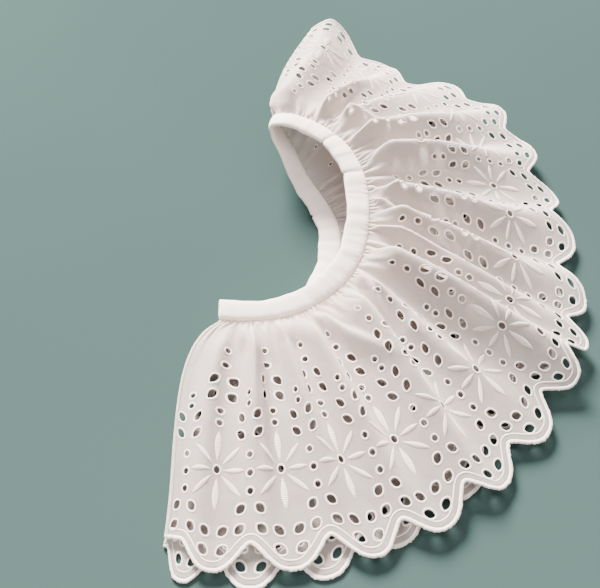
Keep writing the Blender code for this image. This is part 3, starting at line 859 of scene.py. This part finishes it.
# The scalloped edge is sewn in close buttonhole stitches: a cord over the cut edge and, inside
# it, a thin ridge. Each section runs in millimetres inward from the edge and over the middle.
hem = {
    "stitchesPerRepeat": 64,
    "roughness": 0.10,
    "cord": [(-0.55, 0.0), (-0.44, 0.27), (-0.10, 0.44), (0.30, 0.45), (0.68, 0.34), (0.95, 0.10),
             (0.95, -0.10), (0.62, -0.30), (0.10, -0.40), (-0.36, -0.30)],
    "ridge": [(2.50, 0.10), (2.64, 0.22), (2.85, 0.27), (3.06, 0.22), (3.20, 0.10), (3.05, -0.22),
              (2.65, -0.22)],
}


# Closed rings of points, row after row, joined into a tube
def tubeFaces(count, sides):
    faces = []
    for i in range(count - 1):
        for j in range(sides):
            k = (j + 1) % sides
            faces.append((i * sides + j, i * sides + k, (i + 1) * sides + k, (i + 1) * sides + j))
    return np.array(faces)


def scallopEdge(name, first, last, material):
    repeat = strip["repeat"]
    count = round((last - first) * hem["stitchesPerRepeat"])
    x = np.linspace(first, last, count + 1) * repeat
    y = hemDepth(x / repeat)
    slope = np.gradient(y, x)
    length = np.sqrt(1.0 + slope**2)
    run = np.concatenate([[0.0], np.cumsum(np.hypot(np.diff(x), np.diff(y)))])
    rough = np.random.default_rng(3).normal(0.0, hem["roughness"], (count + 1, 1))
    points, faces, uvs, start = [], [], [], 0
    for section in (hem["cord"], hem["ridge"]):
        inward, over = np.array(section).T
        reach = inward + rough * (inward < 0.0)
        across = np.clip(x[:, None] + reach * (slope / length)[:, None], first * repeat, last * repeat)
        down = y[:, None] - reach / length[:, None]
        height = over * (1.0 + rough)
        points.append(onCloth(across / repeat, down, height).reshape(-1, 3))
        faces.append(tubeFaces(*across.shape) + start)
        uvs.append(np.stack(np.broadcast_arrays(run[:, None], reach), axis=-1).reshape(-1, 2))
        start += across.size
    points, faces, uvs = (np.concatenate(group) for group in (points, faces, uvs))
    return addMesh(name, points, faces, "stitches", uvs, material)


# The narrow turned hem at an open end, three layers thick, mostly on the wrong side. Its
# section runs in millimetres inward from the open end and over the middle.
turned = {
    "section": [(-0.22, 0.0), (-0.1, 0.26), (0.3, 0.34), (1.7, 0.32), (2.0, 0.18), (2.0, -0.2),
                (1.8, -0.5), (0.3, -0.55), (-0.1, -0.35)],
    "intoBand": 1.0,
    "aboveHem": 0.2,
    "step": 0.9,
}


def turnedHem(name, place, side, material):
    inward, over = np.array(turned["section"]).T
    bottom = float(hemDepth(np.float64(place))) - turned["aboveHem"]
    depths = np.arange(-turned["intoBand"], bottom, turned["step"])
    down, across = np.broadcast_arrays(depths[:, None], place * strip["repeat"] + side * inward)
    height = np.broadcast_to(over, across.shape)
    points = onCloth(across / strip["repeat"], down, height).reshape(-1, 3)
    faces = tubeFaces(*across.shape)
    uvs = np.stack([across, down], axis=-1).reshape(-1, 2)
    return addMesh(name, points, faces if side > 0 else faces[:, ::-1], "flat", uvs, material)


# Neckband sizes in millimetres, and its places and steps in repeats
band = {
    "width": 9.6, "thickness": 3.1, "seamGap": 0.1, "squareness": 0.78, "sides": 28, "step": 0.06,
    "rise": 8.0, "riseTo": (17.0, 21.0),    # degrees that the inner edge is raised, and where that ends
    "turnAt": 16.7, "turnSpread": 1.3, "turnSmooth": 1.3,
    "endRound": 0.1,                        # how far from an end the band is rounded off
    "slimmer": 1.0, "slimTo": (1.0, 6.0),   # near the upper open end
    "slant": 2.2, "slantReach": 0.5,
    "pinch": 0.40,                          # share of its thickness that the deepest crease takes
    "puckers": 4.7, "puckerHeight": (0.20, 0.08), "puckerDraw": 0.35,
}
# Its creases: repeat, depth, reach in repeats, and how far they draw in the inner edge
bandCreases = [
    (0.9, 0.25, 0.30, 0.0), (2.2, 0.20, 0.35, 0.0), (3.6, 0.30, 0.25, 0.0), (4.9, 0.35, 0.25, 0.1),
    (6.3, 0.30, 0.30, 0.0), (7.4, 0.35, 0.24, 0.0), (8.6, 0.30, 0.30, 0.0), (9.8, 0.35, 0.22, 0.1),
    (11.1, 0.60, 0.16, 0.5), (12.1, 0.35, 0.22, 0.0), (13.5, 0.80, 0.14, 1.1), (14.6, 0.30, 0.25, 0.0),
    (15.4, 0.30, 0.25, 0.0), (17.4, 0.30, 0.25, 0.0), (19.2, 0.30, 0.30, 0.0), (21.0, 0.40, 0.22, 0.2),
    (21.8, 0.90, 0.20, 0.9), (24.2, 0.30, 0.30, 0.1), (27.0, 0.25, 0.30, 0.0), (29.3, 0.30, 0.30, 0.0),
]


# The seam's line, with the turn at the fold made wide and round
def bandSeam(repeats):
    seam = neckPoint(repeats)
    window = np.hanning(round(band["turnSmooth"] / band["step"]))
    window /= window.sum()
    reach = len(window)
    padded = np.pad(seam, ((reach, reach), (0, 0)), mode="edge")
    rounded = np.stack([np.convolve(padded[:, axis], window, mode="same") for axis in range(3)], axis=-1)
    turning = np.exp(-((repeats - band["turnAt"]) / band["turnSpread"]) ** 4)[:, None]
    return seam + (rounded[reach:-reach] - seam) * turning


# How much of a change is still there, from all before one place to nothing after the other
def leftOf(repeats, start, end):
    return 1.0 - smoothStep((repeats - start) / (end - start))


# The band's middle line, and its directions along, inward and up from its face
def bandFrame(repeats):
    seam = bandSeam(repeats)
    along = unit(np.gradient(seam, axis=0))
    rise = np.radians(band["rise"]) * leftOf(repeats, *band["riseTo"])
    turn = np.arctan2(seam[:, 1], seam[:, 0])
    inward = np.stack([-np.cos(turn) * np.cos(rise), -np.sin(turn) * np.cos(rise), np.sin(rise)], axis=-1)
    inward = unit(inward - along * np.sum(inward * along, axis=-1, keepdims=True))
    outside = np.cross(along, inward)
    middle = seam - outside * strip["wall"] / 2 + inward * (band["width"] / 2 + band["seamGap"])
    return middle, along, inward, outside


# How deep the creases go, and how far they draw in the inner edge
def bandCreasing(repeats):
    pinch, draw = np.zeros(len(repeats)), np.zeros(len(repeats))
    for place, depth, reach, drawn in bandCreases:
        bend = np.cos(np.pi / 2 * np.clip(np.abs(repeats - place) / reach, 0.0, 1.0)) ** 2
        pinch += depth * bend
        draw += drawn * bend
    return pinch, draw


# Small puckers where the gathers go into the band's outer edge
def bandPuckers(repeats):
    wander = unevenWave(repeats, [(2.0, 2.1, 0.0), (1.1, 5.3, 0.0)])
    height, change = band["puckerHeight"]
    phase = 2 * np.pi * band["puckers"] * repeats + wander
    return (height + change * np.sin(3.3 * repeats)) * np.cos(phase)


def squared(wave):
    return np.sign(wave) * np.abs(wave) ** band["squareness"]


def neckband(name, material):
    first, last = strip["first"], strip["last"]
    repeats = np.linspace(first, last, round((last - first) / band["step"]) + 1)
    middle, along, inward, outside = bandFrame(repeats)
    pinch, draw = bandCreasing(repeats)
    puckers = bandPuckers(repeats)
    ends = np.clip(np.minimum(repeats - first, last - repeats) / band["endRound"], 0.0, 1.0)
    narrow = np.sqrt(np.clip(1.0 - (1.0 - ends) ** 2, 0.12, 1.0))
    # The section, a soft rectangle: across it inward, and over it
    angle = np.linspace(0.0, 2 * np.pi, band["sides"], endpoint=False)
    across = squared(np.cos(angle)) * band["width"] / 2
    over = squared(np.sin(angle)) * band["thickness"] / 2
    outer = smoothStep((-across - 1.8) / 3.0)
    inner = smoothStep((across + 1.0) / 5.0)
    puffy = 1.0 + unevenWave(repeats, [(0.08, 3.1, 0.0), (0.07, 7.7, 1.3)])
    thick = (puffy - band["pinch"] * pinch) * narrow
    height = over * thick[:, None] + np.sign(over) * outer * puckers[:, None]
    sway = unevenWave(repeats, [(0.26, 2.6, 0.7), (0.08, 7.3, 0.0)])
    slim = band["slimmer"] * leftOf(repeats, *band["slimTo"])
    side = across * (0.94 + 0.06 * narrow[:, None]) + inner * (sway - draw)[:, None]
    side += outer * (band["puckerDraw"] * puckers + slim)[:, None]
    points = middle[:, None] + inward[:, None] * side[..., None] + outside[:, None] * height[..., None]
    slant = band["slant"] * leftOf(repeats, first, first + band["slantReach"])
    points -= along[:, None] * (slant[:, None] * (0.5 + across / band["width"]))[..., None]
    points[..., 2] = np.maximum(points[..., 2], 0.05)
    run = np.concatenate([[0.0], np.cumsum(np.linalg.norm(np.diff(middle, axis=0), axis=1))])
    uvs = np.stack([np.broadcast_to(run[:, None], side.shape), side], axis=-1).reshape(-1, 2)
    faces = tubeFaces(*side.shape)[:, ::-1]
    piece = addMesh(name, toPart(points).reshape(-1, 3), faces, "stitches", uvs, material)
    bm = bmesh.new()
    bm.from_mesh(piece.data)
    bmesh.ops.holes_fill(bm, edges=[edge for edge in bm.edges if edge.is_boundary], sides=band["sides"])
    bmesh.ops.recalc_face_normals(bm, faces=bm.faces)
    bm.to_mesh(piece.data)
    bm.free()
    print(name, len(piece.data.polygons) * 2, "triangles")
    return piece


tile = flatRepeat()
print("one repeat has", len(tile[1]), "triangles")
rims, petals = rimPatterns(), petalPatterns()
# The two stretches, each with its turned hem's place and the way inward from it, and with what
# it lies on
stretches = {
    "upper": {
        "first": strip["first"], "last": strip["split"],
        "endHem": (strip["first"], 1.0), "on": "ruffle_lower",
    },
    "lower": {
        "first": strip["split"], "last": strip["last"],
        "endHem": (strip["last"], -1.0), "on": "floor",
    },
}
for side, stretch in stretches.items():
    first, last = stretch["first"], stretch["last"]
    cloth = gatheredCloth("eyelet_cloth_" + side, first, last, tile, lawn)
    eyelets = layOnCloth("whipped_eyelets_" + side, rims, first, last, whipped)
    stars = layOnCloth("satin_stars_" + side, petals, first, last, satin)
    edge = scallopEdge("corded_scallops_" + side, first, last, corded)
    endHem = turnedHem("turned_hem_" + side, *stretch["endHem"], lawn)
    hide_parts("ruffle_" + side)
    for piece in (cloth, eyelets, stars, edge, endHem):
        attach(piece, "root")
bandPiece = neckband("bias_neckband", binding)
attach(bandPiece, "root")
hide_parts("neck_band")
print("collar is made")


# A plain pale table with a matt green paint, even but for a faint cloudiness
def paintedTable():
    finish = {"Roughness": 0.6, "Specular IOR Level": 0.0}
    material, tree, shader = newMaterial("pale painted table", finish)
    place = addNode(tree, "ShaderNodeTexCoord").outputs["Object"]
    tree.links.new(softWhite(tree, place, "#354948", "#3B504F", 2.0), shader.inputs["Base Color"])
    return material


bpy.ops.object.select_all(action="DESELECT")
bpy.ops.mesh.primitive_plane_add(size=4.0, location=(0.0, 0.0, 0.0))
floor = bpy.context.object
floor.name = "floor"
floor.data.materials.append(paintedTable())

# Soft studio light: a wide bright lamp like a window, behind and to the left, and two faint
# fills. Each has its place, its width in metres, its power and its colour.
lights = [
    ("window", (-0.81, 2.42, 1.55), 1.1, 860.0, "#FFF1E8"),
    ("fill", (-0.35, -1.0, 0.95), 0.8, 9.0, "#FFE9DE"),
    ("overhead", (-0.2, 0.2, 1.5), 1.2, 12.0, "#FFF5EE"),
]
for name, place, size, power, colour in lights:
    lamp = bpy.data.lights.new(name, "AREA")
    lamp.shape = "DISK"
    lamp.size = size
    lamp.energy = power
    lamp.color = linearColour(colour)[:3]
    holder = bpy.data.objects.new(name, lamp)
    bpy.context.scene.collection.objects.link(holder)
    holder.location = place
    aim = -np.array(place) / np.linalg.norm(place)
    holder.rotation_euler = (math.acos(-aim[2]), 0.0, math.atan2(aim[1], aim[0]) - math.pi / 2)
room = {"colour": "#F4F0EE", "strength": 0.52}
world = bpy.data.worlds.new("pale room")
bpy.context.scene.world = world
world.use_nodes = True
background = world.node_tree.nodes["Background"]
background.inputs["Color"].default_value = linearColour(room["colour"])
background.inputs["Strength"].default_value = room["strength"]

# The camera at the photograph's angle, placed in millimetres
view = {"place": (-33.35, -195.35, 226.0), "tilt": 36.5, "lens": 40.8}
eye = bpy.data.cameras.new("camera")
eye.lens = view["lens"]
eye.clip_start = 0.01
camera = bpy.data.objects.new("camera", eye)
bpy.context.scene.collection.objects.link(camera)
camera.location = [value * mm for value in view["place"]]
camera.rotation_euler = (math.radians(view["tilt"]), 0.0, 0.0)
bpy.context.scene.camera = camera
print("table, lights and camera are set")
